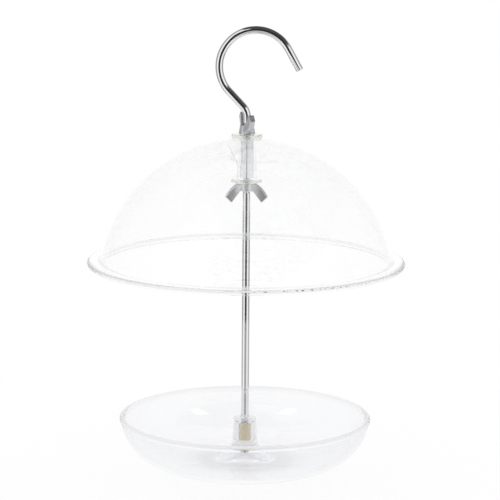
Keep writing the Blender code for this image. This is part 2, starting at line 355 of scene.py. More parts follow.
pale = bpy.data.materials.new("pale_table")
pale.use_nodes = True
tree = pale.node_tree
tree.nodes.clear()
place = object_place(tree)
distance = vector_calc("LENGTH", place)["Value"]
away = split(vector_calc("NORMALIZE", place)["Vector"])[1]
share = room_share(calc("LESS_THAN", away, 0.0), calc("LESS_THAN", away, DISH_RAYS))

in_metal = times(fade(away, *FRONT_EDGE, FRONT_BRIGHT, SIDES_BRIGHT),
                 fade(away, *SEAM_FRONT, 1.0, BACK_SHARE))
in_metal = choose(fade(distance, *PATTERN_FADE), 1.0, in_metal)
white = tree.nodes.new("ShaderNodeEmission")
feed(white.inputs["Strength"], choose(share, 1.0, in_metal))
lit = tree.nodes.new("ShaderNodeBsdfDiffuse")
lit.inputs["Color"].default_value = SHADE_WHITE
from_contact = vector_calc("DISTANCE", place, CONTACT_AT)["Value"]
shaded = calc("ADD", fade_out(distance, *SHADE_FADE, SHADE_SHARE),
              fade_out(from_contact, *CONTACT_FADE, CONTACT_SHARE))
shaded = times(shaded, calc("SUBTRACT", 1.0, share))
mixed = tree.nodes.new("ShaderNodeMixShader")
for socket, output in zip(mixed.inputs, (shaded, white.outputs[0], lit.outputs[0])):
    feed(socket, output)
feed(tree.nodes.new("ShaderNodeOutputMaterial").inputs["Surface"], mixed.outputs[0])
floor_mesh.materials.append(pale)
print("table nodes:", len(tree.nodes))

# %% [markdown]
# ## Marks of use
#
# Handling leaves the same marks on metal and plastic: soft patches of haze, and fine hairlines where the
# piece was wiped. Castings and turned brass also have a grainy skin. Each mark is a node group with its own
# scale, built once and placed in every finish that needs it. A painted image could hold the marks too, but
# noise on Object coordinates is sharp at any distance and needs no unwrapping.

# %% Noise for the groups
def new_group(name, scale, outputs):
    """An empty shader node group with a scale, and its inner sockets."""
    group = bpy.data.node_groups.new(name, "ShaderNodeTree")
    socket = group.interface.new_socket("Scale", in_out="INPUT", socket_type="NodeSocketFloat")
    socket.default_value = scale
    for label in outputs:
        group.interface.new_socket(label, in_out="OUTPUT", socket_type="NodeSocketFloat")
    given = group.nodes.new("NodeGroupInput").outputs
    return group, given["Scale"], group.nodes.new("NodeGroupOutput").inputs


def stretched_noise(tree, scale, detail, stretch=(1, 1, 1), turn=(0, 0, 0)):
    """Noise on Object coordinates, drawn out by stretch and turned."""
    mapping = tree.nodes.new("ShaderNodeMapping")
    mapping.inputs["Scale"].default_value = stretch
    mapping.inputs["Rotation"].default_value = turn
    feed(mapping.inputs["Vector"], object_place(tree))
    noise = tree.nodes.new("ShaderNodeTexNoise")
    noise.inputs["Detail"].default_value = detail
    feed(noise.inputs["Vector"], mapping.outputs[0])
    feed(noise.inputs["Scale"], scale)
    return noise.outputs[0]


# %% Node groups
SPECK_FINER = 22.0  # than the patches of haze
HAIRLINE_TURNS = ((0.3, 0.1, 0.2), (1.2, 0.5, 1.9), (0.7, 2.1, 0.4))
FINE_FINER = 3.7  # than the coarse grain
FINE_SHARE = 0.4

tree, scale, result = new_group("handling_haze", 30.0, ["Mask"])
patches = fade(stretched_noise(tree, scale, detail=3.0), low=0.42, high=0.68)
speck = stretched_noise(tree, times(scale, SPECK_FINER), detail=2.0, turn=(0.4, 0.2, 0.0))
specks = fade(speck, low=0.3, high=0.7, start=0.5)
feed(result["Mask"], times(patches, specks))
haze_group = tree

tree, scale, result = new_group("wiped_hairlines", 60.0, ["Mask"])
hairlines = 0.0
for turn in HAIRLINE_TURNS:
    drawn = stretched_noise(tree, scale, detail=1.0, stretch=(1, 45, 45), turn=turn)
    hairlines = larger(fade(drawn, low=0.66, high=0.74), hairlines)
feed(result["Mask"], hairlines)
hairline_group = tree

tree, scale, result = new_group("grainy_skin", 900.0, ["Height", "Mask"])
coarse = stretched_noise(tree, scale, detail=4.0)
fine = stretched_noise(tree, times(scale, FINE_FINER), detail=2.0, turn=(0.5, 0.0, 0.3))
feed(result["Height"], calc("ADD", coarse, times(fine, FINE_SHARE)))
feed(result["Mask"], fade(coarse, low=0.4, high=0.62))
grain_group = tree
print("node groups:", [group.name for group in (haze_group, hairline_group, grain_group)])

# %% Helpers for a finish
def place_group(tree, group, scale):
    """One of the shared groups, at this finish's own scale."""
    node = tree.nodes.new("ShaderNodeGroup")
    node.node_tree = group
    node.inputs["Scale"].default_value = scale
    return node.outputs


def start_finish(name, haze_scale):
    """A material with its Principled shader, its node tree and its mask of haze."""
    finish = bpy.data.materials.new(name)
    finish.use_nodes = True
    return finish, finish.node_tree, place_group(finish.node_tree, haze_group, haze_scale)["Mask"]


def tint(mask, plain, marked):
    """A colour that changes from plain to marked with the mask."""
    node = mask.id_data.nodes.new("ShaderNodeMix")
    node.data_type = "RGBA"
    feed(node.inputs[0], mask)
    node.inputs[6].default_value = (*plain, 1.0)
    node.inputs[7].default_value = (*marked, 1.0)
    return node.outputs[2]


def bumps(height, distance, strength):
    """A normal from a height. The distance is how high 1 is, in metres."""
    bump = height.id_data.nodes.new("ShaderNodeBump")
    bump.inputs["Distance"].default_value = distance
    bump.inputs["Strength"].default_value = strength
    feed(bump.inputs["Height"], height)
    return bump.outputs[0]


def dress(finish, **values):
    """Feed the inputs of a finish's shader. An underscore stands for a space in an input's name."""
    tree = finish.node_tree
    for label, value in values.items():
        feed(tree.nodes["Principled BSDF"].inputs[label.replace("_", " ")], value)
    print(f"{finish.name}: {len(tree.nodes)} nodes")


# %% [markdown]
# ## Drawing and turning
#
# Almost every piece is turned: its outline is drawn beside the axis and spun round it. The outline could be
# a list of points, but a pen made of two operators keeps the real arcs in view: extruding a vertex draws a
# line, and spinning it draws an arc. The same pen draws the flat wings and ribs.

# %% Pen and lathe
WELD_GAP = 1e-6  # points closer than this are one


def line(radius, height):
    """A straight stroke to a point of the outline."""
    return "line", (radius, height)


def arc(centre, degrees, steps):
    """A stroke round a centre. Degrees are positive towards the left, seen from the front."""
    return "arc", centre, math.radians(degrees), steps


def only(kind, geometry):
    """The points or the edges of what an operator made."""
    return [item for item in geometry if isinstance(item, kind)]


def draw(work, start, strokes):
    """Draw strokes in the XZ plane from a start point, and return all points in order."""
    points = [work.verts.new((start[0], 0.0, start[1]))]
    for stroke in strokes:
        if stroke[0] == "line":
            tip = bmesh.ops.extrude_vert_indiv(work, verts=[points[-1]])["verts"][0]
            tip.co = (stroke[1][0], 0.0, stroke[1][1])
            points.append(tip)
            continue
        _, centre, angle, steps = stroke
        for _ in range(steps):
            swept = bmesh.ops.spin(work, geom=[points[-1]], cent=(centre[0], 0.0, centre[1]),
                                   axis=(0, -1, 0), angle=angle / steps, steps=1)["geom_last"]
            points += only(BMVert, swept)
    return points


def face_outwards(work):
    """Turn every face of a closed skin outwards."""
    bmesh.ops.recalc_face_normals(work, faces=work.faces)


def turn_outline(start, strokes, sides, closed=True):
    """Spin an outline round Z into a closed skin that faces outwards."""
    work = bmesh.new()
    points = draw(work, start, strokes)
    if closed:
        work.edges.new((points[-1], points[0]))
    bmesh.ops.spin(work, geom=work.verts[:] + work.edges[:], cent=(0, 0, 0), axis=(0, 0, 1),
                   angle=2 * math.pi, steps=sides, use_merge=True)
    bmesh.ops.remove_doubles(work, verts=work.verts, dist=WELD_GAP)
    face_outwards(work)
    return work


# %% From a bmesh to a piece
def round_edges(work, width, sharper_than=40):
    """Round every edge that is sharper than an angle."""
    limit = math.radians(sharper_than)
    sharp = [edge for edge in work.edges if edge.is_manifold and edge.calc_face_angle() > limit]
    bmesh.ops.bevel(work, geom=sharp, offset=width, affect="EDGES", segments=3, profile=0.5,
                    material=-1, clamp_overlap=True)


def smooth_up_to(mesh, degrees):
    """Smooth shading, but for edges sharper than an angle."""
    mesh.shade_smooth()
    mesh.set_sharp_from_angle(angle=math.radians(degrees))


def as_object(name, work, smooth_angle=35):
    """Wrap a bmesh in an object with smooth shading up to an angle."""
    mesh = bpy.data.meshes.new(name)
    work.to_mesh(mesh)
    work.free()
    smooth_up_to(mesh, smooth_angle)
    return add_object(name, mesh)


def hand_over(piece, finish, node, body):
    """Give a piece its finish and let it stand for a CAD node."""
    piece.data.materials.clear()
    piece.data.materials.append(finish)
    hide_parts(node)
    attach(piece, body)
    triangles = sum(len(face.vertices) - 2 for face in piece.data.polygons)
    print(f"{piece.name}: {triangles} triangles on {body}")


# %% [markdown]
# ## Chrome
#
# Hook and rod are bright chromed steel. A plain mirror would do for a new bar, but handling leaves haze and
# hairlines, where the reflections are softer. So both marks drive the roughness, the haze also changes the
# colour, and the hairlines are cut into the normal.

# %% Bright chrome
HAZE_WEAR = 0.5  # of what a hairline wears

chrome, tree, haze = start_finish("bright_chrome", haze_scale=45.0)
hairline = place_group(tree, hairline_group, scale=90.0)["Mask"]
worn = larger(times(haze, HAZE_WEAR), hairline)
dress(chrome, Metallic=1.0,
      Base_Color=tint(haze, plain=(0.80, 0.80, 0.81), marked=(0.76, 0.76, 0.775)),
      Roughness=fade(worn, 0.0, 1.0, start=0.05, end=0.14),
      Normal=bumps(hairline, distance=0.000004, strength=0.4))

# %% [markdown]
# ## The stem: hook and rod
#
# The hook is a 6 mm bar bent cold. A curve with a round bevel would do, but sweeping the bar's own circle
# shows how it was bent: an extrude for each straight, a spin for each bend. Hook and rod carry an M6 thread
# at the ends that meet in the coupling nut, and the rod another one for the dish. A thread is a helix: a
# spin that also climbs, one pitch for each turn.

# %% Stem sizes
STEM_R = 0.003
PITCH = 0.001
THREAD_ROOT = 0.00245
BAR_SIDES = 40
END_CHAMFER = 0.0004
HUB_H = 0.0068  # of a wing nut
THREAD_SHOWS = 1.5  # pitches of thread past a nut
rod_low, rod_top = (corner.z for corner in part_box("rod"))
hook_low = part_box("hook")[0].z
upper_nut_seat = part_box("upper_wing_nut")[0].z
lower_nut_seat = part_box("lower_wing_nut")[1].z
upper_thread_end = upper_nut_seat + HUB_H + THREAD_SHOWS * PITCH
lower_thread_end = lower_nut_seat - HUB_H - THREAD_SHOWS * PITCH
dish_thread_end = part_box("threaded_insert")[1].z + 2 * PITCH
print(f"rod {1000 * (rod_top - rod_low):.1f} mm long")

# %% Threads
THREAD_SIDES = 28
RIDGE_SUNK = 0.00008  # how far the ridge reaches into the bar
RIDGE_CREST = (0.00036, 0.00052)
RIDGE_WIDTH = 0.00088


def cut_thread(name, low, high):
    """A closed helical ridge on the stem that runs out into the bar at both ends."""
    turns = (high - low) / PITCH - 1
    steps = round(turns * THREAD_SIDES)
    sunk = THREAD_ROOT - RIDGE_SUNK
    work = bmesh.new()
    corners = ((sunk, 0.0), (STEM_R, RIDGE_CREST[0]), (STEM_R, RIDGE_CREST[1]), (sunk, RIDGE_WIDTH))
    ridge = [work.verts.new((radius, 0.0, low + height)) for radius, height in corners]
    edges = [work.edges.new((ridge[index - 1], ridge[index])) for index in range(len(ridge))]
    bmesh.ops.spin(work, geom=ridge + edges, cent=(0, 0, 0), axis=(0, 0, 1), angle=2 * math.pi * turns,
                   steps=steps, dvec=(0, 0, PITCH * turns / steps))
    bmesh.ops.holes_fill(work, edges=[edge for edge in work.edges if edge.is_boundary], sides=len(ridge))
    for vert in work.verts:
        radius = math.hypot(vert.co.x, vert.co.y)
        runout = min(vert.co.z - low, high - vert.co.z) / PITCH
        allowed = sunk + (STEM_R - sunk) * max(0.0, min(1.0, runout))
        if radius > allowed:
            vert.co.xy *= allowed / radius
    face_outwards(work)
    thread = as_object(name, work, smooth_angle=25)
    thread.data.materials.append(chrome)
    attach(thread, "stem")
    print(name, len(thread.data.polygons), "faces")


# %% Bending a bar
def extrude_ring(work, ring, move, scale=1.0):
    """Pull an open ring of edges along, and make it wider or narrower."""
    grown = bmesh.ops.extrude_edge_only(work, edges=ring)["geom"]
    verts = only(BMVert, grown)
    middle = sum((vert.co for vert in verts), Vector()) / len(verts)
    bmesh.ops.scale(work, verts=verts, vec=(scale, scale, 1.0), space=Matrix.Translation(-middle))
    bmesh.ops.translate(work, verts=verts, vec=move)
    return [edge for edge in only(BMEdge, grown) if edge.is_boundary]


def bend_ring(work, ring, centre, degrees, steps):
    """Bend the bar round a centre in the XZ plane."""
    verts = list(dict.fromkeys(vert for edge in ring for vert in edge.verts))
    last = bmesh.ops.spin(work, geom=verts + ring, cent=(centre[0], 0.0, centre[1]), axis=(0, -1, 0),
                          angle=math.radians(degrees), steps=steps)["geom_last"]
    return only(BMEdge, last)


# %% Hook
HOOK_R = 0.0285  # centreline radius of the crook
HOOK_SHANK = 0.0131  # straight length above the upper nut's seat
NECK_DEGREES = 42.9
NECK_BEND_R = 0.012
NECK_STRAIGHT = 0.0162
TIP_DEGREES = 29.0  # where the crook ends, above level
TIP_LENGTH = 0.0187

neck = math.radians(NECK_DEGREES)
tip = math.radians(TIP_DEGREES)
bend_z = upper_nut_seat + HOOK_SHANK
foot_x = NECK_BEND_R * (math.cos(neck) - 1) - NECK_STRAIGHT * math.sin(neck)
foot_z = bend_z + NECK_BEND_R * math.sin(neck) + NECK_STRAIGHT * math.cos(neck)
crook = (foot_x + HOOK_R * math.cos(neck), foot_z + HOOK_R * math.sin(neck))

work = bmesh.new()
bmesh.ops.create_circle(work, segments=BAR_SIDES, radius=THREAD_ROOT)
bmesh.ops.translate(work, verts=work.verts, vec=(0, 0, hook_low))
ring = work.edges[:]
ring = extrude_ring(work, ring, (0, 0, upper_thread_end - hook_low))
ring = extrude_ring(work, ring, (0, 0, PITCH / 2), STEM_R / THREAD_ROOT)
ring = extrude_ring(work, ring, (0, 0, bend_z - upper_thread_end - PITCH / 2))
ring = bend_ring(work, ring, (-NECK_BEND_R, bend_z), NECK_DEGREES, steps=16)
ring = extrude_ring(work, ring, (-NECK_STRAIGHT * math.sin(neck), 0, NECK_STRAIGHT * math.cos(neck)))
ring = bend_ring(work, ring, crook, -(180 + NECK_DEGREES - TIP_DEGREES), steps=96)
ring = extrude_ring(work, ring, (TIP_LENGTH * math.sin(tip), 0, -TIP_LENGTH * math.cos(tip)))
bmesh.ops.holes_fill(work, edges=[edge for edge in work.edges if edge.is_boundary], sides=0)
face_outwards(work)
round_edges(work, END_CHAMFER, sharper_than=60)
hand_over(as_object("bent_hook", work), chrome, "hook", "stem")
cut_thread("hook_thread", hook_low + PITCH, upper_thread_end)

# %% Rod
rod_strokes = [
    line(THREAD_ROOT - END_CHAMFER, rod_low),
    line(THREAD_ROOT, rod_low + END_CHAMFER),
    line(THREAD_ROOT, dish_thread_end),
    line(STEM_R, dish_thread_end + PITCH / 2),
    line(STEM_R, lower_thread_end),
    line(THREAD_ROOT, lower_thread_end + PITCH / 2),
    line(THREAD_ROOT, rod_top - END_CHAMFER),
    line(THREAD_ROOT - END_CHAMFER, rod_top),
    line(0.0, rod_top),
]
rod = as_object("straight_rod", turn_outline((0.0, rod_low), rod_strokes, BAR_SIDES, closed=False))
hand_over(rod, chrome, "rod", "stem")
cut_thread("rod_upper_thread", lower_thread_end, rod_top - PITCH)
cut_thread("rod_dish_thread", rod_low + PITCH, dish_thread_end)

# %% [markdown]
# ## The coupling nut
#
# A long hexagon nut of plated steel joins hook and rod inside the dome's sleeve, where it only shows as a
# pale bar. It is cut from hexagon stock and its ends are turned to a chamfer. It could be drawn face by
# face, but the maker's own way is quicker: a six-sided prism that a turned shape cuts with a Boolean.

# %% Plated steel
plated, tree, haze = start_finish("plated_steel", haze_scale=160.0)
grain = place_group(tree, grain_group, scale=2200.0)
dress(plated, Metallic=1.0,
      Base_Color=tint(haze, plain=(0.80, 0.81, 0.83), marked=(0.72, 0.73, 0.76)),
      Roughness=fade(haze, 0.0, 1.0, start=0.14, end=0.24),
      Normal=bumps(grain["Height"], distance=0.00001, strength=0.15))

# %% Coupling nut
BORE_R = 0.0033
FLAT_R = 0.005
CORNER_R = FLAT_R / math.cos(math.pi / 6)
NUT_CHAMFER = 0.0008
NUT_CORNER = 0.0008
NUT_WEAR = 0.00012  # rounding of its other edges
coupling_low, coupling_top = (corner.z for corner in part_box("coupling_nut"))
length = coupling_top - coupling_low


def settle(piece):
    """Apply a piece's modifiers and drop them."""
    graph = bpy.context.evaluated_depsgraph_get()
    piece.data = bpy.data.meshes.new_from_object(piece.evaluated_get(graph))
    piece.modifiers.clear()


work = bmesh.new()
bmesh.ops.create_cone(work, cap_ends=True, segments=6, radius1=CORNER_R, radius2=CORNER_R, depth=length)
upright = [edge for edge in work.edges if abs(edge.verts[0].co.z - edge.verts[1].co.z) > length / 2]
bmesh.ops.bevel(work, geom=upright, offset=NUT_CORNER, affect="EDGES", segments=6, profile=0.5, material=-1)
bmesh.ops.translate(work, verts=work.verts, vec=(0, 0, (coupling_low + coupling_top) / 2))
coupling = as_object("hex_coupling", work, smooth_angle=20)
turned_ends = as_object("turned_ends", turn_outline((BORE_R, coupling_top), [
    line(FLAT_R, coupling_top),
    line(CORNER_R + NUT_CHAMFER, coupling_top - NUT_CHAMFER),
    line(CORNER_R + NUT_CHAMFER, coupling_low + NUT_CHAMFER),
    line(FLAT_R, coupling_low),
    line(BORE_R, coupling_low),
], sides=64))
cut = coupling.modifiers.new("turned_ends", "BOOLEAN")
cut.operation = "INTERSECT"
cut.object = turned_ends
worn_edges = coupling.modifiers.new("worn_edges", "BEVEL")
worn_edges.width = NUT_WEAR
worn_edges.segments = 2
worn_edges.limit_method = "ANGLE"
worn_edges.angle_limit = math.radians(25)
settle(coupling)
bpy.data.objects.remove(turned_ends, do_unlink=True)
smooth_up_to(coupling.data, 20)
hand_over(coupling, plated, "coupling_nut", "stem")

# %% [markdown]
# ## The dome
#
# The dome is one moulding of clear plastic: a shell that is nearly half a ball, a rounded flange, and a
# clamping sleeve with three gusset ribs. It could be a sphere with a Solidify modifier, but refraction
# needs one closed skin with the sleeve, the flange and the fillets. So the whole section is drawn and
# turned once, and only the ribs are added.

# %% Dome sizes
DOME_R = 0.117
DOME_WALL = 0.0026
DOME_DROP = 0.0193  # shell's centre below the top of the flange
FLANGE_T = 0.0042
FLANGE_FILLET = 0.002
SEAT_GAP = 0.0003  # between pieces that touch
SLEEVE_WALL = 0.0016
SLEEVE_BORE = CORNER_R + SEAT_GAP
SLEEVE_R = SLEEVE_BORE + SLEEVE_WALL

flange_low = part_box("dome")[0].z
flange_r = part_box("dome")[1].x
land_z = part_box("dome")[1].z
sleeve_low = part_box("lower_washer")[1].z + SEAT_GAP
flange_top = flange_low + FLANGE_T
shell_z = flange_top - DOME_DROP
land_r = math.sqrt(DOME_R ** 2 - (land_z - shell_z) ** 2)
inner_r = DOME_R - DOME_WALL
fillet_z = flange_top + FLANGE_FILLET
fillet_r = math.sqrt((DOME_R + FLANGE_FILLET) ** 2 - (fillet_z - shell_z) ** 2)
meet = math.degrees(math.atan2(fillet_z - shell_z, fillet_r))
crown = math.degrees(math.acos(land_r / DOME_R))
mouth = math.degrees(math.asin((flange_low - shell_z) / inner_r))
sleeve_meet = math.degrees(math.acos(SLEEVE_R / inner_r))
edge_r = FLANGE_T / 2
mouth_r = math.sqrt(inner_r ** 2 - (flange_low - shell_z) ** 2)
print(f"dome {2000 * flange_r:.0f} mm across, mouth {2000 * mouth_r:.1f} mm")

# %% [markdown]
# ## Clear plastic
#
# The clear pieces are polished plastic with a few hairlines. Light that has run along a wall comes out grey
# at its edge. A grey volume could do that, but rays that are caught in a thin wall make it blotchy. So that
# grey is painted shade: a grey surface tint on the edges, placed by distance from the axis and height, and
# the rest stays clear.

# %% Helpers for clear plastic
PLASTIC_IOR = 1.49


def dress_clear(finish, hairline_scale, hairline_rough, **values):
    """Dress a finish as clear plastic with wiped hairlines."""
    hairline = place_group(finish.node_tree, hairline_group, hairline_scale)["Mask"]
    dress(finish, Roughness=times(hairline, hairline_rough), Transmission_Weight=1.0, IOR=PLASTIC_IOR,
          **values)


def turned_place(tree):
    """Distance from the axis and height on a turned piece, from Object coordinates."""
    x, y, height = split(object_place(tree))
    return calc("SQRT", calc("ADD", times(x, x), times(y, y))), height


# %% Clear plastic for the dome
DOME_HAZE = 0.04  # how grey haze and the painted shade at the inner edge are, where the painted shade at the outer edge is 1
INNER_EDGE_SHADE = 0.6
EDGE_SHADE_W = 0.0025  # width of the strip of painted shade

dome_plastic, tree, haze = start_finish("clear_dome_plastic", haze_scale=14.0)
from_axis, height = turned_place(tree)
# Grey at the flange's outer rim and round its mouth is painted shade, for light that has run along the
# wall. The haze is real.
outer_edge_shade = times(fade(from_axis, flange_r - EDGE_SHADE_W, flange_r - edge_r / 2),
                   fade(height, flange_low + edge_r / 2, flange_top - edge_r / 2))
inner_edge_shade = times(fade_out(from_axis, mouth_r, mouth_r + EDGE_SHADE_W / 2),
                   fade_out(height, flange_low, flange_low + edge_r / 2))
painted_edge_shade = larger(outer_edge_shade, times(inner_edge_shade, INNER_EDGE_SHADE))
haze_and_painted_shade = larger(times(haze, DOME_HAZE), painted_edge_shade)
ripples = stretched_noise(tree, 9.0, detail=1.0)
dress_clear(dome_plastic, hairline_scale=25.0, hairline_rough=0.03,
            Base_Color=tint(haze_and_painted_shade, plain=(0.998, 0.999, 0.999), marked=(0.76, 0.76, 0.77)),
            Normal=bumps(ripples, distance=0.0003, strength=0.25))

# %% Dome
SHELL_SIDES = 192
SHELL_STEPS = 84

work = turn_outline((SLEEVE_BORE, land_z), [
    line(land_r, land_z),
    arc((0.0, shell_z), meet - crown, SHELL_STEPS),
    arc((fillet_r, fillet_z), 90 - meet, steps=8),
    line(flange_r - edge_r, flange_top),
    arc((flange_r - edge_r, flange_top - edge_r), -180, steps=16),
    line(mouth_r, flange_low),
    arc((0.0, shell_z), sleeve_meet - mouth, SHELL_STEPS),
    line(SLEEVE_R, sleeve_low),
    line(SLEEVE_BORE, sleeve_low),
], SHELL_SIDES)
round_edges(work, width=0.0004)
dome = as_object("clear_dome", work)
print("dome without ribs:", len(dome.data.polygons), "faces")

# %% Gusset ribs
RIB_T = 0.002
RIB_REACH = 0.0133
RIB_FOOT = 0.0078
RIB_SUNK = 0.0008  # how far a rib reaches into the sleeve
RIB_TURNS = (-15, 105, 225)  # degrees round the sleeve
rib_start = SLEEVE_R - RIB_SUNK
rib_end = SLEEVE_R + RIB_REACH


def shell_under(radius):
    """Height of the shell's inner face at a radius."""
    return shell_z + math.sqrt(inner_r ** 2 - radius ** 2)


ribs = []
for number, degrees in enumerate(RIB_TURNS):
    work = bmesh.new()
    points = draw(work, (rib_start, sleeve_low + RIB_FOOT), [
        line(rib_end, shell_under(rib_end)),
        line(rib_end, shell_under(rib_end) + DOME_WALL / 2),
        line(rib_start, shell_under(rib_start) + DOME_WALL / 2),
    ])
    face = work.faces.new(points)
    bmesh.ops.translate(work, verts=work.verts, vec=(0, -RIB_T / 2, 0))
    grown = bmesh.ops.extrude_face_region(work, geom=[face])["geom"]
    bmesh.ops.translate(work, verts=only(BMVert, grown), vec=(0, RIB_T, 0))
    bmesh.ops.rotate(work, verts=work.verts, matrix=Matrix.Rotation(math.radians(degrees), 3, "Z"))
    face_outwards(work)
    rib = as_object(f"gusset_{number}", work)
    weld = dome.modifiers.new(rib.name, "BOOLEAN")
    weld.operation = "UNION"
    weld.object = rib
    ribs.append(rib)
settle(dome)
for rib in ribs:
    bpy.data.objects.remove(rib, do_unlink=True)
smooth_up_to(dome.data, 30)
hand_over(dome, dome_plastic, "dome", "dome")

# %% [markdown]
# ## The clear washers
#
# Two thick washers spread the load of the wing nuts on the plastic. They are clear as well, but seen edge
# on the light runs a long way through them and comes out olive. A tinted surface would darken their flat
# faces too, so the tint is in the volume: it only shows where the path is long.

# %% Clear plastic for the washers
WASHER_DEPTH = (0.60, 0.64, 0.50, 1.0)
WASHER_DENSITY = 24.0  # per metre

washer_plastic, tree, haze = start_finish("clear_washer_plastic", haze_scale=120.0)
absorbed = tree.nodes.new("ShaderNodeVolumeAbsorption")
absorbed.inputs["Color"].default_value = WASHER_DEPTH
absorbed.inputs["Density"].default_value = WASHER_DENSITY
feed(tree.nodes["Material Output"].inputs["Volume"], absorbed.outputs[0])
dress_clear(washer_plastic, hairline_scale=110.0, hairline_rough=0.06,
            Base_Color=tint(haze, plain=(0.985, 0.990, 0.980), marked=(0.96, 0.965, 0.95)))

# %% Washers
for node in ("upper_washer", "lower_washer"):
    low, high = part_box(node)
    work = turn_outline((BORE_R, high.z), [
        line(high.x, high.z),
        line(high.x, low.z),
        line(BORE_R, low.z),
    ], sides=96)
    round_edges(work, width=0.0003)
    hand_over(as_object(f"clear_{node}", work), washer_plastic, node, node)

# %% [markdown]
# ## Cast zinc
#
# The wing nuts have the dull, fine-grained skin of zinc from a mould. Noise in the colour alone would look
# painted on, so the shared grain sets the roughness and the bumps, and the colour only follows the haze.

# %% Zinc
cast_zinc, tree, haze = start_finish("cast_zinc", haze_scale=150.0)
grain = place_group(tree, grain_group, scale=1100.0)
dress(cast_zinc, Metallic=0.85,
      Base_Color=tint(haze, plain=(0.72, 0.72, 0.745), marked=(0.64, 0.64, 0.66)),
      Roughness=fade(grain["Mask"], 0.0, 1.0, start=0.30, end=0.44),
      Normal=bumps(grain["Height"], distance=0.00006, strength=0.45))

# %% [markdown]
# ## The wing nuts
#
# Both wing nuts are the same casting: a conical hub and two thick splayed wings, rounded along their swept
# edge and flared into the hub. A Subdivision Surface could give such a shape, but its cage is hard to size.
# So the shapes are drawn crisp and laid into each other, a voxel Remesh melts them into one skin, and a
# Smooth modifier rounds every inside corner, as molten metal does.

# %% Wing nut sizes
HUB_BASE_WALL = 0.0032
HUB_TOP_WALL = 0.0021
WING_SPAN = 0.033
WING_H = 0.0157
WING_W = 0.0069  # across the square end
WING_LEAN = math.radians(48)
WING_LIFT = 0.0004
WING_SHOULDER = 0.0003
WING_SWEEP_R = 0.025
SKIN_LOSS = 0.0004  # what smoothing takes off the wings' ends

along = Vector((math.cos(WING_LEAN), math.sin(WING_LEAN)))
across = Vector((-along.y, along.x))
corner = Vector((WING_SPAN / 2, WING_H - WING_W * across.y)) + along * SKIN_LOSS
shoulder = Vector((BORE_R + HUB_BASE_WALL + WING_SHOULDER, WING_LIFT))
chord = corner - shoulder
half_sweep = math.asin(chord.length / 2 / WING_SWEEP_R)
to_centre = Vector((-chord.y, chord.x)).normalized() * WING_SWEEP_R * math.cos(half_sweep)
sweep_centre = (shoulder + corner) / 2 + to_centre
root = BORE_R + HUB_TOP_WALL / 2
print(f"wings sweep through {2 * math.degrees(half_sweep):.1f} degrees")

# %% Wing
WING_T = 0.0042
WING_ROOT_T = 0.0085  # where it flares into the hub
WING_FLARE = 2.4  # the higher, the closer the flare stays to the hub
WING_SLICES = 12
WING_EDGE_R = 0.0016  # rounding of the swept edge
FACES_DOWN = -0.3  # normals under the wing point lower


def draw_wing():
    """Draw a wing, cut it into slices, and make each slice thicker the closer it is to the hub."""
    work = bmesh.new()
    points = draw(work, (root, WING_LIFT), [
        line(*shoulder),
        arc(tuple(sweep_centre), 2 * math.degrees(half_sweep), steps=10),
        line(*(corner + across * WING_W)),
        line(root, HUB_H - HUB_TOP_WALL / 2),
    ])
    work.faces.new(points)
    for number in range(1, WING_SLICES):
        cut_x = root + (corner.x - root) * number / WING_SLICES
        bmesh.ops.bisect_plane(work, geom=work.verts[:] + work.edges[:] + work.faces[:],
                               plane_co=(cut_x, 0, 0), plane_no=(1, 0, 0))
    front = work.verts[:]
    grown = bmesh.ops.extrude_face_region(work, geom=work.faces[:])["geom"]
    for verts, sign in ((front, -1), (only(BMVert, grown), 1)):
        for vert in verts:
            share = min(1.0, (vert.co.x - root) / (corner.x - root))
            thickness = WING_T + (WING_ROOT_T - WING_T) * (1 - share) ** WING_FLARE
            vert.co.y = sign * thickness / 2
    face_outwards(work)
    return work


def round_swept_edge(work):
    """Round the two long edges under a wing."""
    under = [edge for edge in work.edges if any(face.normal.z < FACES_DOWN for face in edge.link_faces)]
    long_edges = [edge for edge in under if edge.verts[0].co.y * edge.verts[1].co.y > 0]
    bmesh.ops.bevel(work, geom=long_edges, offset=WING_EDGE_R, affect="EDGES", segments=5, profile=0.5,
                    material=-1)


# %% Casting
SKIN_VOXEL = 0.0002
SKIN_ROUNDS = 20  # of smoothing


def cast_wing_nut(name, place):
    """Hub and wings laid into each other, then fused into one cast skin."""
    work = turn_outline((BORE_R, HUB_H), [
        line(BORE_R + HUB_TOP_WALL, HUB_H),
        line(BORE_R + HUB_BASE_WALL, 0.0),
        line(BORE_R, 0.0),
    ], sides=64)
    for turn in (0.0, math.pi):
        wing = draw_wing()
        round_swept_edge(wing)
        bmesh.ops.rotate(wing, verts=wing.verts, matrix=Matrix.Rotation(turn, 3, "Z"))
        face_outwards(wing)
        laid_in = bpy.data.meshes.new("wing")
        wing.to_mesh(laid_in)
        wing.free()
        work.from_mesh(laid_in)
        bpy.data.meshes.remove(laid_in)
    bmesh.ops.transform(work, matrix=place, verts=work.verts)
    nut = as_object(name, work)
    skin = nut.modifiers.new("skin", "REMESH")
    skin.mode = "VOXEL"
    skin.voxel_size = SKIN_VOXEL
    skin.use_smooth_shade = True
    soften = nut.modifiers.new("soften", "SMOOTH")
    soften.factor = 0.5
    soften.iterations = SKIN_ROUNDS
    settle(nut)
    nut.data.shade_smooth()
    return nut


# %% Wing nuts
UPPER_NUT_TURN = math.radians(-74)
upper_place = Matrix.Translation((0, 0, upper_nut_seat)) @ Matrix.Rotation(UPPER_NUT_TURN, 4, "Z")
lower_place = Matrix.Translation((0, 0, lower_nut_seat)) @ Matrix.Rotation(math.pi, 4, "X")
for node, place in (("upper_wing_nut", upper_place), ("lower_wing_nut", lower_place)):
    hand_over(cast_wing_nut(f"cast_{node}", place), cast_zinc, node, node)
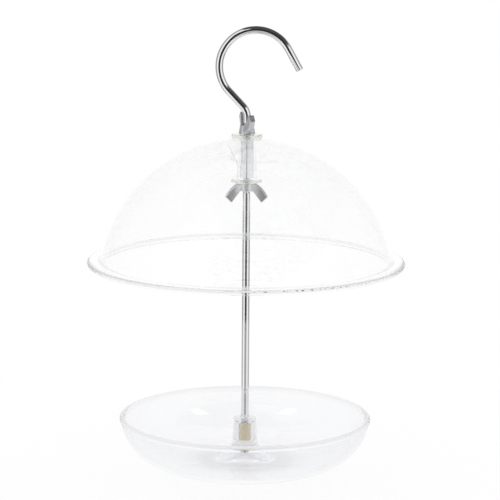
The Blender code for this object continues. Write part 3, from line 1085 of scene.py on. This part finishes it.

# %% [markdown]
# ## The brass insert
#
# The dish screws on to the rod by a brass insert moulded into its boss. Its two collars are knurled so that
# the plastic grips them. The knurl could be a bump map, but it shows through the clear boss as crossing
# facets, so it is real: the collars are turned with many rows, and each point sinks where the two helical
# cuts of the knurling wheel pass. The depth is kept as an attribute, and the finish paints shade into the
# grooves from it.

# %% Brass
HAZE_DARKENING = 0.4  # how dark haze makes it, as a share of the painted shade in a full groove

brass, tree, haze = start_finish("turned_brass", haze_scale=260.0)
grain = place_group(tree, grain_group, scale=2600.0)
groove_shade = tree.nodes.new("ShaderNodeAttribute")
groove_shade.attribute_name = "groove_shade"
# The grooves and the faces without a knurl are darker: painted shade, read from the attribute that the
# insert stores. Haze darkens it as well.
groove_shade_mask = fade(groove_shade.outputs["Fac"], low=0.35, high=0.95)
haze_and_groove_shade = larger(groove_shade_mask, times(haze, HAZE_DARKENING))
dress(brass, Metallic=1.0,
      Base_Color=tint(haze_and_groove_shade, plain=(1.0, 0.95, 0.74), marked=(0.84, 0.76, 0.54)),
      Roughness=fade(grain["Mask"], 0.0, 1.0, start=0.18, end=0.32),
      Normal=bumps(grain["Height"], distance=0.00001, strength=0.35))

# %% Insert sizes
INSERT_R = 0.0050
INSERT_FLOOR = 0.0015
WAIST_DEPTH = 0.0006  # between the collars
WAIST_H = 0.0024
KNURL_ROWS = 14
insert_low, insert_top = (corner.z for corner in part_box("threaded_insert"))
waist_z = (insert_low + insert_top) / 2
waist_r = INSERT_R - WAIST_DEPTH
collar_h = (insert_top - insert_low - WAIST_H) / 2


def collar_rows(start_z):
    """Strokes down one collar, one for each knurled row."""
    return [line(INSERT_R, start_z - collar_h * row / KNURL_ROWS) for row in range(KNURL_ROWS + 1)]


insert_strokes = [
    line(BORE_R, insert_low + INSERT_FLOOR),
    line(BORE_R, insert_top),
    *collar_rows(insert_top),
    line(waist_r, waist_z + WAIST_H / 2),
    line(waist_r, waist_z - WAIST_H / 2),
    *collar_rows(insert_low + collar_h),
    line(0.0, insert_low),
]
print(f"collars {1000 * collar_h:.2f} mm high")

# %% Knurled insert
KNURL_TEETH = 12
TOOTH_SIDES = 12
KNURL_DEPTH = 0.0005
PLAIN_FACE_SHADE = 0.7  # painted shade on the faces without a knurl


def zigzag(turns):
    """A triangle wave between 0 and 1."""
    return abs(2 * (turns % 1.0) - 1)


sides = TOOTH_SIDES * KNURL_TEETH
work = turn_outline((0.0, insert_low + INSERT_FLOOR), insert_strokes, sides, closed=False)
# Each point stores how much painted shade it gets: the depth of its groove, or a fixed share on the plain
# faces.
depth = work.verts.layers.float.new("groove_shade")
for vert in work.verts:
    radius = math.hypot(vert.co.x, vert.co.y)
    if radius < INSERT_R - WELD_GAP:
        vert[depth] = PLAIN_FACE_SHADE
        continue
    around = KNURL_TEETH * math.atan2(vert.co.y, vert.co.x) / (2 * math.pi)
    climb = KNURL_TEETH * vert.co.z / (2 * math.pi * INSERT_R)
    ridge = min(zigzag(around + climb), zigzag(around - climb))
    vert[depth] = 1 - ridge
    vert.co.xy *= 1 - KNURL_DEPTH * (1 - ridge) / radius
hand_over(as_object("knurled_insert", work, smooth_angle=50), brass, "threaded_insert", "insert")

# %% [markdown]
# ## The dish
#
# The dish is the second clear moulding: a shallow bowl with a beaded rim, and a boss that flares into the
# floor and holds the insert. A boss of its own would show a face where it meets the floor, so the dish is
# turned in one go, with the pocket round the insert and the hollow under the boss: each of those walls
# bends the light. Its plastic is greyer than the dome's, most of all in the thick boss. The grey on the
# bead is painted shade, for the dark edges of the rim.

# %% Dish sizes
DISH_BASE_R = 0.0555
DISH_CORNER_R = 0.044
DISH_WALL = 0.003
BEAD_R = 0.0025
BOSS_R = 0.0087
BOSS_DRAFT = 0.001
BOSS_FILLET = 0.02
BOSS_EDGE_R = 0.0008
BOSS_COVER = 0.0048  # plastic above the insert
HOLLOW_R = 0.030
HOLLOW_TOP_R = 0.003
HOLLOW_H = 0.0113

pocket_r = INSERT_R + SEAT_GAP
pocket_low = insert_low - SEAT_GAP
pocket_top = insert_top + SEAT_GAP
boss_top = pocket_top + BOSS_COVER
bead_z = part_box("dish")[1].z - BEAD_R
bead_foot = BEAD_R * math.sin(math.pi / 4)
side_top = bead_z - bead_foot
inner_side_r = DISH_CORNER_R - DISH_WALL
inner_climb = 90 - math.degrees(math.asin((DISH_CORNER_R - side_top) / inner_side_r))
outer_climb = 90 - math.degrees(math.asin((DISH_CORNER_R - side_top) / DISH_CORNER_R))
inner_top_r = DISH_BASE_R + inner_side_r * math.sin(math.radians(inner_climb))
outer_top_r = DISH_BASE_R + DISH_CORNER_R * math.sin(math.radians(outer_climb))
bead_r_at = (inner_top_r + outer_top_r) / 2
fillet_at = (BOSS_R + BOSS_DRAFT + BOSS_FILLET, DISH_WALL + BOSS_FILLET)
hollow_span = HOLLOW_R - HOLLOW_TOP_R
hollow_arc_r = (hollow_span ** 2 + HOLLOW_H ** 2) / (2 * HOLLOW_H)
hollow_sweep = math.degrees(math.asin(hollow_span / hollow_arc_r))
print(f"dish {2000 * (bead_r_at + BEAD_R):.0f} mm across, boss top at {1000 * boss_top:.1f} mm")

# %% Clear plastic for the dish
DISH_HAZE = 0.15  # how grey haze is, where the boss and the painted shade on the bead are 1

dish_plastic, tree, haze = start_finish("clear_dish_plastic", haze_scale=18.0)
from_axis, height = turned_place(tree)
in_boss = fade_out(from_axis, BOSS_R, 2 * BOSS_R)
# The grey on the bead is painted shade for the rim's dark edges. The boss is greyer for its thickness.
painted_bead_shade = fade(height, bead_z - BEAD_R / 2, bead_z + BEAD_R / 2)
haze_and_painted_shade = larger(larger(times(haze, DISH_HAZE), in_boss), painted_bead_shade)
ripples = stretched_noise(tree, 16.0, detail=1.0)
dress_clear(dish_plastic, hairline_scale=35.0, hairline_rough=0.04,
            Base_Color=tint(haze_and_painted_shade, plain=(0.963, 0.966, 0.977), marked=(0.862, 0.855, 0.868)),
            Normal=bumps(ripples, distance=0.0002, strength=0.2))

# %% Dish
work = turn_outline((0.0, pocket_low), [
    line(pocket_r, pocket_low),
    line(pocket_r, pocket_top),
    line(BORE_R, pocket_top),
    line(BORE_R, boss_top),
    line(BOSS_R - BOSS_EDGE_R, boss_top),
    arc((BOSS_R - BOSS_EDGE_R, boss_top - BOSS_EDGE_R), -90, steps=6),
    line(BOSS_R + BOSS_DRAFT, DISH_WALL + BOSS_FILLET),
    arc(fillet_at, 90, steps=24),
    line(DISH_BASE_R, DISH_WALL),
    arc((DISH_BASE_R, DISH_CORNER_R), inner_climb, steps=32),
    line(bead_r_at - bead_foot, side_top),
    arc((bead_r_at, bead_z), -270, steps=28),
    line(outer_top_r, side_top),
    arc((DISH_BASE_R, DISH_CORNER_R), -outer_climb, steps=32),
    line(HOLLOW_R, 0.0),
    arc((HOLLOW_R, hollow_arc_r), -hollow_sweep, steps=24),
    line(0.0, HOLLOW_H),
], SHELL_SIDES, closed=False)
dish = as_object("clear_dish", work)
hand_over(dish, dish_plastic, "dish", "dish")
softbox_lit.objects.link(dish)
